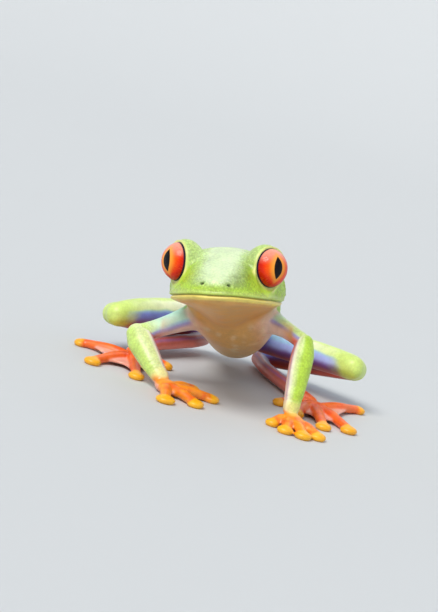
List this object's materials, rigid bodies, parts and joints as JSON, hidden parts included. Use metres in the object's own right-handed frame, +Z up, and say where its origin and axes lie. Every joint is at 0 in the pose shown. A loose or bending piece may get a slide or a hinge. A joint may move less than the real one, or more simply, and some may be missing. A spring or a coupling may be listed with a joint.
{
  "type": "red-eyed tree frog",
  "caption": "Life-size still tree frog stepping forward with its head up, limbs bent, webbed orange feet flat on the floor.",
  "frame": {"origin": "on the floor under the middle of the frog's bounding box", "axes": "+Z up, the frog faces -Y with its head a little to its right, its left side is +X"},
  "size_m": [0.06, 0.0618, 0.0324],
  "materials": {
    "skin": "moist, finely granular yellow-green skin, tan below, blue and cream flanks",
    "digits": "moist smooth orange skin of the hands and feet",
    "eye": "wet gloss over a red iris with an upright black pupil"
  },
  "bodies": {
    "root": {"head": "skin", "torso": "skin", "left_eye": "eye", "right_eye": "eye", "left_upper_arm": "skin", "left_forearm": "skin", "left_hand": "digits", "right_upper_arm": "skin", "right_forearm": "skin", "right_hand": "digits", "left_thigh": "skin", "left_shank": "skin", "left_tarsus": "skin", "left_foot": "digits", "right_thigh": "skin", "right_shank": "skin", "right_tarsus": "skin", "right_foot": "digits"}
  },
  "joints": []
}
